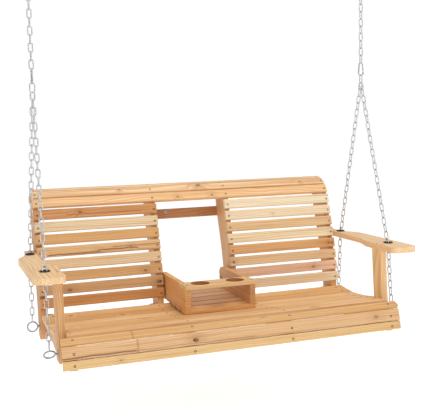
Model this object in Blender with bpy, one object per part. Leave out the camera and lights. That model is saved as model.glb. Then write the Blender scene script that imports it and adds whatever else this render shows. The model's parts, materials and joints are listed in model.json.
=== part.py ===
"""Three-seat cedar porch swing on chains, with a fold-down cup console in its centre.

The bench is laid out in its own coordinates: X left to right, Y front to back, Z up,
from the middle of the bottom front edge of the lowest front slat. The finished model
stands in the frame of its ceiling plates: the origin is midway between the tops of the
two plates, so the whole swing hangs below Z = 0.
"""
import math

import bmesh
import bpy
from mathutils import Matrix, Vector

# Hanging geometry, bench coordinates
HANG_Y = 0.3697              # both chains hang in this plane
CEILING_Z = 1.600            # underside of the ceiling
CHAIN_X = 0.764              # upper chains
LEFT_BOW_Z = 1.095           # where the left carabiner carries the bench
RIGHT_BOW_Z = 1.130          # the right one hangs one chain link higher
CARABINER_LENGTH = 0.066
ROD_CARABINER = 0.0066
BENCH_TO_WORLD = Vector((0.0, -HANG_Y, -CEILING_Z))

# Lumber
SLAT_END = 0.7437            # half the length of a full slat
SLAT_T = 0.018               # slat thickness
SLAT_W = 0.0455              # back slat width
BOARD_T = 0.0295             # ribs, posts and seat supports
EASE = 0.0022                # eased edges
FIT = 0.0003                 # gap between pieces that touch

END_RIB_X = 0.7140           # inner face of each end rib and post
END_UNDERSIDE = ((0.560, -0.008), (0.520, -0.005), (0.440, -0.011), (0.390, -0.022), (0.330, -0.028),
                 (0.220, -0.028), (0.150, -0.008))
MID_UNDERSIDE = ((0.560, 0.002), (0.450, 0.022), (0.300, 0.028), (0.190, 0.012), (0.150, 0.004))
END_SUPPORT_X = 0.6842       # inner face of each end seat support
MID_RIB_X = 0.1720           # inner face of each middle rib, and the ends of the short slats
MID_SUPPORT_X = 0.2018       # inner face of each middle seat support

# Back: each slat's lean from vertical in degrees, from the seat up
BACK_START = (0.5570, 0.1175)
SHORT_LEANS = (7.5, 10.0, 12.0, 14.0, 15.5, 15.5, 15.5, 15.5)
SHORT_GAP = 0.0113
ROLL_LEANS = (35.0, 57.0, 85.0)
ROLL_GAPS = (0.0130, 0.0090, 0.0105)
ROLL_W = 0.043

# Seat: slope of each deck slat in degrees, from the nose to the rear
DECK_START = (0.0605, 0.1205)
DECK_SLOPES = (-3.0, -8.5, -9.0, -8.0, -5.0, -1.5, 5.0, 7.0)
DECK_W = 0.0548
DECK_GAP = 0.0046
GROOVE = 0.007
NOSE = ((0.0190, 0.1040), (0.0520, 0.1150))
APRON_UPPER = ((0.0020, 0.0394), (0.0179, 0.0884))
APRON_LOWER = ((-0.0040, 0.0010), (0.0012, 0.0361))

# Posts and armrests
POST_FOOT_Y = 0.0930
POST_TOP_Y = 0.1200
POST_DEPTH = 0.0700
NOTCH_REAR_Y = 0.1768         # the deck is cut away round each post as far back as this
ARM_Z = 0.3350               # armrest underside
ARM_T = 0.0250
GROMMET_X = 0.7760
GROMMET_FRONT_Y = 0.1516
GROMMET_REAR_Y = 0.5877
GROMMET_BORE = 0.0140
GROMMET_BARREL = 0.0170
GROMMET_FLANGE = 0.0210
GROMMET_RISE = 0.0055

# Eye bolts, one through each post and one through each end rib
EYE_X = 0.7760
EYE_Z = 0.0300               # the rear pair
EYE_FRONT_Z = 0.0370
EYE_FRONT_Y = 0.1200
EYE_REAR_Y = 0.6100
EYE_RING_R = 0.0220
EYE_WIRE = 0.0070
BOLT_R = 0.0040
BOLT_HOLE_R = 0.0044
FRONT_EYE_TURN = 38.0
WASHER_R = 0.0160

# Console, folded down on the seat
PIVOT = (0.6400, 0.1700)
FOLD_DEG = 103.0
CONSOLE_HALF = 0.1650
CONSOLE_BOARD = 0.0250
CONSOLE_FRONT_Y = 0.2720
CONSOLE_SLOPE = math.radians(1.3)
CONSOLE_BASE_Z = 0.0952      # underside of the floor at its front edge
CONSOLE_TOP_Z = 0.2220
FLOOR_PITCH = 0.0745
FLOOR_GAP = 0.0110
FLOOR_SLATS = 5
CUP_FRONT_Y = 0.2620
CUP_REAR_Y = 0.3570
CUP_X = 0.0820
CUP_Y = 0.3090
CUP_R = 0.0405
RAIL_HEIGHT = 0.0470
RAIL_CENTRE_Z = 0.4830
RAIL_CLEAR = 0.0010

# Chain
LINK_PITCH = 0.0330
LINK_HALF = 0.0105
WIRE_HALF = 0.0024
BARREL_LINK_LOW = 0.0150     # the link in a grommet reaches this far below the armrest's middle
BARREL_LINK_HIGH = 0.0200
APEX_REACH = 0.0300          # the joining link at the top of the V

# Ceiling fitting
PLATE_R = 0.0380
PLATE_T = 0.0060
HOOK_HALF = 0.0160
HOOK_WIRE = 0.0085
HOOK_DROP = 0.0420           # ceiling to the middle of the hook's lower rod

CEDAR = (0.72, 0.46, 0.24)
CEDAR_PALE = (0.80, 0.62, 0.40)
STEEL = (0.62, 0.62, 0.62)
BLACK = (0.02, 0.02, 0.02)


def empty(name, place, parent=None):
    """A joint frame at a bench place, without rotation."""
    item = bpy.data.objects.new(name, None)
    bpy.context.collection.objects.link(item)
    item.parent = parent
    item["bench_place"] = tuple(place)
    origin = Vector(parent["bench_place"]) if parent else -BENCH_TO_WORLD
    item.location = Vector(place) - origin
    return item


def paint(item, colour, roughness, metallic):
    """Give an object its own Principled material."""
    material = bpy.data.materials.new(item.name)
    material.use_nodes = True
    shader = material.node_tree.nodes["Principled BSDF"]
    shader.inputs["Base Color"].default_value = (*colour, 1.0)
    shader.inputs["Roughness"].default_value = roughness
    shader.inputs["Metallic"].default_value = metallic
    item.data.materials.clear()
    item.data.materials.append(material)


def piece(name, mesh, parent, colour, roughness=0.6, metallic=0.0):
    """Add a mesh made in bench coordinates under its joint frame."""
    mesh.name = name
    item = bpy.data.objects.new(name, mesh)
    bpy.context.collection.objects.link(item)
    item.parent = parent
    item.location = -Vector(parent["bench_place"])
    paint(item, colour, roughness, metallic)
    return item


def wood(name, mesh, parent, colour=CEDAR):
    return piece(name, mesh, parent, colour)


def steel(name, mesh, parent):
    mesh.shade_smooth()
    mesh.set_sharp_from_angle(angle=math.radians(40))
    return piece(name, mesh, parent, STEEL, 0.35, 1.0)


def finish(build):
    """Turn a bmesh into a mesh with its faces pointing out."""
    bmesh.ops.recalc_face_normals(build, faces=build.faces)
    mesh = bpy.data.meshes.new("shape")
    build.to_mesh(mesh)
    build.free()
    return mesh


def prism(outline, axis, low, high):
    """Extrude a flat outline: (Y, Z) points along X, or (X, Y) points along Z."""
    build = bmesh.new()
    step = Vector((1, 0, 0)) if axis == "X" else Vector((0, 0, 1))
    flat = [Vector((0, a, b)) if axis == "X" else Vector((a, b, 0)) for a, b in outline]
    near = [build.verts.new(point + step * low) for point in flat]
    far = [build.verts.new(point + step * high) for point in flat]
    build.faces.new(near)
    build.faces.new(far)
    for i in range(len(flat)):
        j = (i + 1) % len(flat)
        build.faces.new((near[i], near[j], far[j], far[i]))
    return finish(build)


def mirrored(mesh):
    """The same shape on the other side of the bench."""
    copy = mesh.copy()
    copy.transform(Matrix.Scale(-1, 4, (1, 0, 0)))
    copy.flip_normals()
    return copy


def combine(base, other, operation):
    """Boolean two meshes made in the same coordinates."""
    first = bpy.data.objects.new("first", base)
    second = bpy.data.objects.new("second", other)
    for item in (first, second):
        bpy.context.collection.objects.link(item)
    boolean = first.modifiers.new("boolean", "BOOLEAN")
    boolean.operation = operation
    boolean.solver = "EXACT"
    boolean.object = second
    graph = bpy.context.evaluated_depsgraph_get()
    result = bpy.data.meshes.new_from_object(first.evaluated_get(graph))
    for item in (first, second):
        bpy.data.objects.remove(item, do_unlink=True)
    return result


def cylinder(radius, start, end, sides=16):
    """A capped cylinder between two points."""
    start = Vector(start)
    span = Vector(end) - start
    build = bmesh.new()
    turn = span.to_track_quat("Z", "Y").to_matrix().to_4x4()
    place = Matrix.Translation(start + span / 2) @ turn
    bmesh.ops.create_cone(build, cap_ends=True, segments=sides, radius1=radius,
                          radius2=radius, depth=span.length, matrix=place)
    return finish(build)


def drill(mesh, radius, start, end):
    return combine(mesh, cylinder(radius, start, end), "DIFFERENCE")


def turned(profile, centre, sides=24):
    """Turn a closed (radius, height) profile round a vertical axis."""
    build = bmesh.new()
    rings = []
    for k in range(sides):
        angle = 2 * math.pi * k / sides
        out = Vector((math.cos(angle), math.sin(angle), 0))
        rings.append([build.verts.new(Vector(centre) + out * r + Vector((0, 0, h))) for r, h in profile])
    for k, ring in enumerate(rings):
        after = rings[(k + 1) % sides]
        for i in range(len(profile)):
            j = (i + 1) % len(profile)
            build.faces.new((ring[i], ring[j], after[j], after[i]))
    return finish(build)


def rod(points, radius, sides=8):
    """A round rod along a path that lies in one plane."""
    build = bmesh.new()
    points = [Vector(p) for p in points]
    normal = (points[1] - points[0]).cross(points[-1] - points[0])
    for point in points[2:-1]:
        if normal.length < 1e-7:
            normal = (points[1] - points[0]).cross(point - points[0])
    if normal.length < 1e-7:
        normal = (points[1] - points[0]).orthogonal()
    normal.normalize()
    rings = []
    for i, point in enumerate(points):
        before = points[max(i - 1, 0)]
        after = points[min(i + 1, len(points) - 1)]
        side = (after - before).normalized().cross(normal)
        corners = [2 * math.pi * k / sides for k in range(sides)]
        rings.append([build.verts.new(point + (side * math.cos(a) + normal * math.sin(a)) * radius)
                      for a in corners])
    for ring, after in zip(rings, rings[1:]):
        for k in range(sides):
            j = (k + 1) % sides
            build.faces.new((ring[k], ring[j], after[j], after[k]))
    build.faces.new(rings[0])
    build.faces.new(rings[-1])
    return finish(build)


def arc(centre, radius, start, end, steps):
    """Points (u, v) on an arc, angles in degrees."""
    turn = [math.radians(start + (end - start) * k / steps) for k in range(steps + 1)]
    return [(centre[0] + radius * math.cos(a), centre[1] + radius * math.sin(a)) for a in turn]


def smooth(points, steps=4):
    """A Catmull-Rom curve through a few (u, v) points."""
    padded = [points[0]] + list(points) + [points[-1]]
    path = []
    for i in range(1, len(padded) - 2):
        p0, p1, p2, p3 = (Vector(p) for p in padded[i - 1:i + 3])
        for k in range(steps):
            t = k / steps
            bend = (2 * p0 - 5 * p1 + 4 * p2 - p3) * t * t + (3 * p1 - p0 - 3 * p2 + p3) * t ** 3
            path.append(tuple((2 * p1 + (p2 - p0) * t + bend) / 2))
    path.append(tuple(points[-1]))
    return path


def filleted(corners, steps=5):
    """Round each (u, v, radius) corner of a closed outline."""
    path = []
    for i, (u, v, radius) in enumerate(corners):
        corner = Vector((u, v))
        before = (Vector(corners[i - 1][:2]) - corner).normalized()
        after = (Vector(corners[(i + 1) % len(corners)][:2]) - corner).normalized()
        half = before.angle(after) / 2
        reach = radius / math.tan(half)
        middle = corner + (before + after).normalized() * radius / math.sin(half)
        start = corner + before * reach - middle
        sweep = start.angle_signed(corner + after * reach - middle)
        for k in range(steps + 1):
            turn = Matrix.Rotation(-sweep * k / steps, 2)
            path.append(tuple(middle + turn @ start))
    return path


def walk(start, angles, widths, gaps, upright):
    """Lay boards end to end: the (start, end, inward normal) of each board's face."""
    point = Vector(start)
    boards = []
    for k, (angle, width) in enumerate(zip(angles, widths)):
        a = math.radians(angle)
        along = Vector((math.sin(a), math.cos(a))) if upright else Vector((math.cos(a), math.sin(a)))
        inward = Vector((along.y, -along.x))
        boards.append((point.copy(), point + along * width, inward))
        b = math.radians((angle + angles[min(k + 1, len(angles) - 1)]) / 2)
        step = Vector((math.sin(b), math.cos(b))) if upright else Vector((math.cos(b), math.sin(b)))
        point = boards[-1][1] + step * gaps[k]
    return boards


def slat_outline(start, end, thickness=SLAT_T):
    """Section of a slat from the line of its show face, its front edges eased."""
    start = Vector(start)
    end = Vector(end)
    along = (end - start).normalized()
    inward = Vector((along.y, -along.x))
    return [tuple(point) for point in (
        start + inward * EASE, start + along * EASE, end - along * EASE, end + inward * EASE,
        end + inward * thickness, start + inward * thickness)]


def back_boards():
    """The eight levels of short slats and the three slats of the top roll, from the seat up."""
    leans = SHORT_LEANS + ROLL_LEANS
    widths = [SLAT_W] * len(SHORT_LEANS) + [ROLL_W] * len(ROLL_LEANS)
    gaps = [SHORT_GAP] * (len(SHORT_LEANS) - 1) + list(ROLL_GAPS) + [0.0]
    return walk(BACK_START, leans, widths, gaps, True)


def deck_boards():
    count = len(DECK_SLOPES)
    return walk(DECK_START, DECK_SLOPES, [DECK_W] * count, [DECK_GAP] * count, False)


def under(boards, depth):
    """The line that carries a row of boards: straight under each, meeting between them."""
    path = [tuple(boards[0][0] + boards[0][2] * depth)]
    for (_, end, inward), (start, _, next_inward) in zip(boards, boards[1:]):
        path.append(tuple((end + inward * depth + start + next_inward * depth) / 2))
    path.append(tuple(boards[-1][1] + boards[-1][2] * depth))
    return path


def folded(point):
    """Where a console point (Y, Z) goes when the console is folded up."""
    offset = Vector(point) - Vector(PIVOT)
    return Vector(PIVOT) + Matrix.Rotation(math.radians(-FOLD_DEG), 2) @ offset


def rail_line():
    """The line, low end to high end, on which the folded cup board lands."""
    low = folded((CUP_REAR_Y, CONSOLE_TOP_Z))
    high = folded((CUP_FRONT_Y, CONSOLE_TOP_Z))
    along = (high - low).normalized()
    back = Vector((along.y, -along.x)) * RAIL_CLEAR
    centre = low + along * ((RAIL_CENTRE_Z - low.y) / along.y) + back
    return centre - along * RAIL_HEIGHT / 2, centre + along * RAIL_HEIGHT / 2


def rib_outline():
    """A rib carries the back slats, holds the rail behind, and ends low beside a support."""
    front = under(back_boards(), SLAT_T + FIT)
    low, high = rail_line()
    along = (high - low).normalized()
    seat_back = Vector((along.y, -along.x)) * -FIT
    low += seat_back
    high += seat_back
    lower_rear = smooth([tuple(low), (0.714, 0.320), (0.686, 0.205), (0.664, 0.105), (0.658, 0.020)])
    top = front[-1]
    upper_rear = [(top[0] + 0.003, top[1] - 0.020), (0.7865, 0.5650), tuple(high)]
    foot = arc((0.614, 0.011), 0.044, 0, -180, 10)
    return front + upper_rear + lower_rear + foot + [(0.5705, 0.060)]


def support_outline(underside):
    """A seat support follows the deck above and is arched below."""
    top = under(deck_boards(), SLAT_T + FIT)
    rear = [(0.560, 0.0800), (0.600, 0.0830)] + arc((0.614, 0.033), 0.044, 60, -90, 7)
    arch = smooth(underside)
    nose_back = [(0.0158, underside[-1][1]), (0.0197, 0.0338), (0.0354, 0.0820), (0.0385, 0.0902),
                 (0.0572, 0.0960)]
    return nose_back + top + rear + arch


def post_outline():
    """A post stands behind the nose slats and leans back a little."""
    lean = (POST_TOP_Y - POST_FOOT_Y) / ARM_Z
    top = ARM_Z - FIT
    return [(POST_FOOT_Y, 0.003), (POST_FOOT_Y + lean * top, top),
            (POST_FOOT_Y + lean * top + POST_DEPTH, top)] + arc(
                (POST_FOOT_Y + POST_DEPTH - 0.016, 0.019), 0.016, 10, -90, 4)


def plank(outline, inner):
    """A board of the bench's frame on the right side, from its inner face outward."""
    return prism(outline, "X", inner, inner + BOARD_T)


def deck_outline(boards, groove):
    """Section of a row of slats on one backing, with a groove at each gap."""
    top = []
    for k, (start, end, inward) in enumerate(boards):
        top += [tuple(start), tuple(end)]
        if k + 1 < len(boards):
            middle = (end + boards[k + 1][0]) / 2
            top.append(tuple(middle + inward * groove))
    return top + list(reversed(under(boards, SLAT_T)))


def box(low, high):
    outline = [(low[0], low[1]), (high[0], low[1]), (high[0], high[1]), (low[0], high[1])]
    return prism(outline, "Z", low[2], high[2])


def both_sides(name, mesh, parent, colour=CEDAR):
    """Add a wooden piece on the right and its mirror image on the left."""
    wood(name + "_right", mesh, parent, colour)
    wood(name + "_left", mirrored(mesh), parent, colour)


def make_back(bench):
    boards = back_boards()
    short = boards[:len(SHORT_LEANS)]
    for k, (start, end, _) in enumerate(reversed(short), 1):
        for side, low, high in (("left", -SLAT_END, -MID_RIB_X), ("right", MID_RIB_X, SLAT_END)):
            wood(f"back_slat_{side}_{k}", prism(slat_outline(start, end), "X", low, high), bench)
    for k, (start, end, _) in enumerate(reversed(boards[len(short):]), 1):
        outline = slat_outline(start, end)
        wood(f"top_roll_slat_{k}", prism(outline, "X", -SLAT_END, SLAT_END), bench, CEDAR_PALE)


def make_ribs(bench):
    outline = rib_outline()
    end_rib = plank(outline, END_RIB_X)
    outer = END_RIB_X + BOARD_T + FIT
    end_rib = drill(end_rib, BOLT_HOLE_R, (END_RIB_X - FIT, EYE_REAR_Y, EYE_Z), (outer, EYE_REAR_Y, EYE_Z))
    both_sides("end_rib", end_rib, bench)
    middle = plank(outline, MID_RIB_X)
    outer = MID_RIB_X + BOARD_T + FIT
    middle = drill(middle, BOLT_HOLE_R, (MID_RIB_X - FIT, *PIVOT), (outer, *PIVOT))
    both_sides("middle_rib", middle, bench)


def make_rail(bench):
    low, high = rail_line()
    outline = slat_outline(low, high)
    end = MID_RIB_X + BOARD_T
    wood("rear_rail", prism(outline, "X", -end, end), bench)


def make_seat(bench):
    boards = deck_boards()
    deck = prism(deck_outline(boards, GROOVE), "X", -SLAT_END, SLAT_END)
    for side in (-1, 1):
        near, far = sorted((side * (END_RIB_X - 0.001), side * (SLAT_END + 0.01)))
        deck = combine(deck, box((near, 0.0, 0.05), (far, NOTCH_REAR_Y, 0.20)), "DIFFERENCE")
    wood("seat_deck", deck, bench)
    for name, (start, end) in (("nose_slat", NOSE), ("front_slat_upper", APRON_UPPER),
                               ("front_slat_lower", APRON_LOWER)):
        wood(name, prism(slat_outline(start, end), "X", -SLAT_END, SLAT_END), bench, CEDAR_PALE)


def make_supports(bench):
    end = plank(support_outline(END_UNDERSIDE), END_SUPPORT_X)
    for y, z in ((EYE_FRONT_Y, EYE_FRONT_Z), (EYE_REAR_Y, EYE_Z)):
        end = drill(end, BOLT_HOLE_R, (END_SUPPORT_X - FIT, y, z), (END_RIB_X, y, z))
    both_sides("end_seat_support", end, bench)
    both_sides("middle_seat_support", plank(support_outline(MID_UNDERSIDE), MID_SUPPORT_X), bench)


def make_posts(bench):
    post = plank(post_outline(), END_RIB_X)
    outer = END_RIB_X + BOARD_T + FIT
    bolt = (EYE_FRONT_Y, EYE_FRONT_Z)
    post = drill(post, BOLT_HOLE_R, (END_RIB_X - FIT, *bolt), (outer, *bolt))
    both_sides("front_post", post, bench)


def make_armrests(bench):
    outline = filleted([
        (0.7140, 0.0130, 0.028), (0.8385, 0.0100, 0.030), (0.8385, 0.5000, 0.080),
        (0.7890, 0.6000, 0.080), (0.7890, 0.7000, 0.012), (0.7450, 0.7000, 0.003),
        (0.7450, 0.3400, 0.080), (0.7140, 0.2450, 0.080)])
    arm = prism(outline, "Z", ARM_Z, ARM_Z + ARM_T)
    for y in (GROMMET_FRONT_Y, GROMMET_REAR_Y):
        start = (GROMMET_X, y, ARM_Z - FIT)
        arm = drill(arm, GROMMET_BARREL + FIT, start, (GROMMET_X, y, ARM_Z + ARM_T + FIT))
    both_sides("armrest", arm, bench, CEDAR_PALE)


def make_grommets(bench):
    top = ARM_Z + ARM_T
    profile = [(GROMMET_BORE, ARM_Z - 0.001), (GROMMET_BARREL - FIT, ARM_Z - 0.001),
               (GROMMET_BARREL - FIT, top + FIT), (GROMMET_FLANGE, top + FIT),
               (GROMMET_FLANGE, top + 0.0025), (GROMMET_FLANGE - 0.003, top + GROMMET_RISE),
               (GROMMET_BORE + 0.0015, top + GROMMET_RISE), (GROMMET_BORE, top + 0.003)]
    for side, sign in (("left", -1), ("right", 1)):
        for where, y in (("front", GROMMET_FRONT_Y), ("rear", GROMMET_REAR_Y)):
            mesh = turned(profile, (sign * GROMMET_X, y, 0.0))
            mesh.shade_smooth()
            mesh.set_sharp_from_angle(angle=math.radians(40))
            piece(f"chain_grommet_{where}_{side}", mesh, bench, BLACK, 0.45)


def eye_bolt(y, z, turn):
    """Ring, shank, washer and nut of an eye bolt that runs along X, in one piece."""
    circle = [2 * math.pi * k / 24 for k in range(24)]
    tip = Matrix.Rotation(math.radians(turn), 3, "X")
    centre = Vector((EYE_X, y, z))
    build = bmesh.new()
    rings = []
    for a in circle:
        out = tip @ Vector((math.cos(a), 0, math.sin(a)))
        side = tip @ Vector((0, 1, 0))
        spot = centre + out * EYE_RING_R
        corners = [2 * math.pi * k / 8 for k in range(8)]
        rings.append([build.verts.new(spot + (out * math.cos(c) + side * math.sin(c)) * EYE_WIRE / 2)
                      for c in corners])
    for k, ring in enumerate(rings):
        after = rings[(k + 1) % len(rings)]
        for i in range(8):
            j = (i + 1) % 8
            build.faces.new((ring[i], ring[j], after[j], after[i]))
    ring_mesh = finish(build)
    outer = END_RIB_X + BOARD_T
    shank = cylinder(BOLT_R, (END_SUPPORT_X - 0.012, y, z), (EYE_X - EYE_RING_R, y, z), 12)
    washer = cylinder(WASHER_R, (outer + FIT, y, z), (outer + 0.0023, y, z), 20)
    nut = cylinder(0.0072, (END_SUPPORT_X - 0.0085, y, z), (END_SUPPORT_X - FIT, y, z), 6)
    bolt = combine(ring_mesh, shank, "UNION")
    bolt = combine(bolt, washer, "UNION")
    return combine(bolt, nut, "UNION")


def make_eye_bolts(bench):
    for where, y, z, turn in (("front", EYE_FRONT_Y, EYE_FRONT_Z, FRONT_EYE_TURN),
                              ("rear", EYE_REAR_Y, EYE_Z, 0.0)):
        bolt = eye_bolt(y, z, turn)
        steel(f"eye_bolt_{where}_left", mirrored(bolt), bench)
        steel(f"eye_bolt_{where}_right", bolt, bench)


def chain_loft(stations):
    """One closed body for a chain: (centre, tangent, half width along X, half depth) rings."""
    build = bmesh.new()
    rings = []
    for centre, tangent, wide, deep in stations:
        across = Vector((1, 0, 0))
        normal = Vector(tangent).cross(across).normalized()
        corners = ((1, 1), (-1, 1), (-1, -1), (1, -1))
        rings.append([build.verts.new(Vector(centre) + across * wide * a + normal * deep * b)
                      for a, b in corners])
    for ring, after in zip(rings, rings[1:]):
        for k in range(4):
            j = (k + 1) % 4
            build.faces.new((ring[k], ring[j], after[j], after[k]))
    build.faces.new(rings[0])
    build.faces.new(rings[-1])
    return finish(build)


def link_stations(start, end, flat_first):
    """Rings for a straight run of links that alternate face-on and edge-on."""
    start = Vector(start)
    end = Vector(end)
    tangent = (end - start).normalized()
    count = max(1, round((end - start).length / LINK_PITCH))
    stations = []
    for k in range(count):
        face_on = (k % 2 == 0) == flat_first
        wide, deep = (LINK_HALF, WIRE_HALF) if face_on else (WIRE_HALF, LINK_HALF)
        for share in (k + 0.06, k + 0.94):
            stations.append((start.lerp(end, share / count), tangent, wide, deep))
    return stations


def bow_z(sign):
    return RIGHT_BOW_Z if sign > 0 else LEFT_BOW_Z


def make_upper_chain(side, sign, hanger):
    top = CEILING_Z - HOOK_DROP - HOOK_WIRE / 2 - 0.0010
    x = sign * CHAIN_X
    bottom = bow_z(sign) + CARABINER_LENGTH - ROD_CARABINER / 2 + 0.0010
    mesh = chain_loft(link_stations((x, HANG_Y, top), (x, HANG_Y, bottom), True))
    piece(f"upper_chain_{side}", mesh, hanger, STEEL, 0.35, 1.0)


def make_bench_chain(side, sign, bench):
    """Front eye bolt, front grommet, joining link, rear grommet, rear eye bolt."""
    foot_rise = EYE_RING_R + EYE_WIRE / 2 + 0.0010
    ring_x = sign * EYE_X
    arm_mid = ARM_Z + ARM_T / 2
    apex = Vector((sign * CHAIN_X, HANG_Y, bow_z(sign) - ROD_CARABINER / 2 - 0.0030))
    near_front = Vector((ring_x, GROMMET_FRONT_Y, arm_mid))
    near_rear = Vector((ring_x, GROMMET_REAR_Y, arm_mid))
    up = Vector((0, 0, 1))
    run_up = (apex - near_front).normalized()
    run_down = (near_rear - apex).normalized()
    inside_low = up * BARREL_LINK_LOW
    foot = (ring_x, EYE_FRONT_Y + 0.005, EYE_FRONT_Z + foot_rise)
    stations = link_stations(foot, near_front - inside_low, False)
    stations += [(near_front - inside_low, up, LINK_HALF, WIRE_HALF),
                 (near_front + run_up * BARREL_LINK_HIGH, run_up, LINK_HALF, WIRE_HALF)]
    stations += link_stations(near_front + run_up * BARREL_LINK_HIGH, apex - run_up * APEX_REACH, False)
    stations.append((apex, (0, 1, 0), LINK_HALF, WIRE_HALF))
    stations += link_stations(apex + run_down * APEX_REACH, near_rear - run_down * BARREL_LINK_HIGH, True)
    stations += [(near_rear - run_down * BARREL_LINK_HIGH, run_down, LINK_HALF, WIRE_HALF),
                 (near_rear - inside_low, -up, LINK_HALF, WIRE_HALF)]
    stations += link_stations(near_rear - inside_low, (ring_x, EYE_REAR_Y, EYE_Z + foot_rise), False)
    piece(f"bench_chain_{side}", chain_loft(stations), bench, STEEL, 0.35, 1.0)


def carabiner_path():
    """Centre line (u, z) of the snap's body, from the upper end of its gate to the lower."""
    top_r = 0.0085
    low_r = 0.0125
    reach = (CARABINER_LENGTH - ROD_CARABINER) / 2
    upper = arc((0.0, reach - top_r), top_r, 0, 180, 8)
    lower = arc((0.0, low_r - reach), low_r, 180, 360, 8)
    return [(0.0092, 0.0150)] + upper + lower + [(0.0121, -0.0140)]


def in_plane(points, x, z, along_x):
    """Stand (u, z) points up at a chain, in the plane of X or in the plane of Y."""
    if along_x:
        return [(x + u, HANG_Y, z + v) for u, v in points]
    return [(x, HANG_Y + u, z + v) for u, v in points]


def make_carabiner(side, sign, hanger, along_x):
    x = sign * CHAIN_X
    z = bow_z(sign) + (CARABINER_LENGTH - ROD_CARABINER) / 2
    body = rod(in_plane(carabiner_path(), x, z, along_x), ROD_CARABINER / 2)
    steel(f"carabiner_{side}", body, hanger)
    gate_low = (0.0120, -0.0125)
    gate_high = (0.0093, 0.0135)
    ends = in_plane([gate_low, gate_high], x, z, along_x)
    gate_axis = empty(f"gate_axis_{side}", ends[0], hanger)
    steel(f"carabiner_gate_{side}", cylinder(0.0026, ends[0], ends[1], 10), gate_axis)


def make_ceiling_hook(side, sign, root):
    """Round plate with a U-shaped eye welded under it."""
    x = sign * CHAIN_X
    plate = cylinder(PLATE_R, (x, HANG_Y, CEILING_Z - PLATE_T), (x, HANG_Y, CEILING_Z), 32)
    low = CEILING_Z - HOOK_DROP + HOOK_HALF
    top = CEILING_Z - PLATE_T / 2
    path = [(HOOK_HALF, top)] + arc((0.0, low), HOOK_HALF, 0, -180, 10) + [(-HOOK_HALF, top)]
    eye = rod([(x + u, HANG_Y, v) for u, v in path], HOOK_WIRE / 2)
    steel(f"ceiling_hook_{side}", combine(plate, eye, "UNION"), root)


def floor_boards():
    width = FLOOR_PITCH - FLOOR_GAP
    top = Vector((CONSOLE_FRONT_Y, CONSOLE_BASE_Z))
    top += Vector((-math.sin(CONSOLE_SLOPE), math.cos(CONSOLE_SLOPE))) * SLAT_T
    slopes = [math.degrees(CONSOLE_SLOPE)] * FLOOR_SLATS
    return walk(top, slopes, [width] * FLOOR_SLATS, [FLOOR_GAP] * FLOOR_SLATS, False)


def make_console(console):
    boards = floor_boards()
    floor = prism(deck_outline(boards, GROOVE), "X", -CONSOLE_HALF, CONSOLE_HALF)
    wood("console_floor", floor, console, CEDAR_PALE)
    lift = Vector((0, FIT))
    front = boards[0][0] + lift
    rear = boards[-1][1] + lift
    shelf = CONSOLE_TOP_Z - SLAT_T - FIT
    outline = [tuple(front), (CONSOLE_FRONT_Y, shelf), (CUP_REAR_Y + FIT, shelf),
               (CUP_REAR_Y + FIT, CONSOLE_TOP_Z)]
    outline += arc((PIVOT[0] - 0.012, CONSOLE_TOP_Z - 0.034), 0.034, 90, 0, 6) + [tuple(rear)]
    inner = CONSOLE_HALF - CONSOLE_BOARD
    side = prism(outline, "X", inner, CONSOLE_HALF)
    side = drill(side, BOLT_HOLE_R, (inner - FIT, *PIVOT), (CONSOLE_HALF + FIT, *PIVOT))
    both_sides("console_side", side, console)
    low = (-CONSOLE_HALF, CUP_FRONT_Y, CONSOLE_TOP_Z - SLAT_T)
    cup_board = box(low, (CONSOLE_HALF, CUP_REAR_Y, CONSOLE_TOP_Z))
    for x in (-CUP_X, CUP_X):
        ends = [(x, CUP_Y, CONSOLE_TOP_Z - SLAT_T - FIT), (x, CUP_Y, CONSOLE_TOP_Z + FIT)]
        cup_board = combine(cup_board, cylinder(CUP_R, *ends, 40), "DIFFERENCE")
    wood("cup_board", cup_board, console, CEDAR_PALE)


def make_pivot_bolts(bench):
    """Headed bolts through the console sides, held by nuts behind the middle ribs."""
    inner = CONSOLE_HALF - CONSOLE_BOARD
    outer = MID_RIB_X + BOARD_T
    shank = cylinder(BOLT_R, (inner - 0.004, *PIVOT), (outer + 0.008, *PIVOT), 12)
    head = cylinder(0.0080, (inner - 0.0055, *PIVOT), (inner - FIT, *PIVOT), 20)
    nut = cylinder(0.0072, (outer + FIT, *PIVOT), (outer + 0.0065, *PIVOT), 6)
    spacer = cylinder(0.0075, (CONSOLE_HALF + FIT, *PIVOT), (MID_RIB_X - FIT, *PIVOT), 16)
    bolt = shank
    for extra in (head, nut, spacer):
        bolt = combine(bolt, extra, "UNION")
    steel("console_pivot_bolt_left", mirrored(bolt), bench)
    steel("console_pivot_bolt_right", bolt, bench)


def make_swing():
    for item in list(bpy.data.objects):
        bpy.data.objects.remove(item, do_unlink=True)
    root = empty("ceiling_frame", (0.0, HANG_Y, CEILING_Z))
    hanger = empty("swing_axis", (0.0, HANG_Y, CEILING_Z - HOOK_DROP), root)
    bench = empty("bench_pitch_axis", (0.0, HANG_Y, (LEFT_BOW_Z + RIGHT_BOW_Z) / 2), hanger)
    console = empty("console_axis", (0.0, *PIVOT), bench)
    for side, sign in (("left", -1), ("right", 1)):
        make_ceiling_hook(side, sign, root)
        make_upper_chain(side, sign, hanger)
        make_carabiner(side, sign, hanger, sign > 0)
        make_bench_chain(side, sign, bench)
    make_armrests(bench)
    make_grommets(bench)
    make_posts(bench)
    make_eye_bolts(bench)
    make_supports(bench)
    make_ribs(bench)
    make_rail(bench)
    make_back(bench)
    make_seat(bench)
    make_pivot_bolts(bench)
    make_console(console)


make_swing()
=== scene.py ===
"""Looks of the porch swing: softwood with grain and knots, zinc chain links, screws and snaps."""
import json
import math

import bmesh
import bpy
from mathutils import Matrix, Vector

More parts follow.
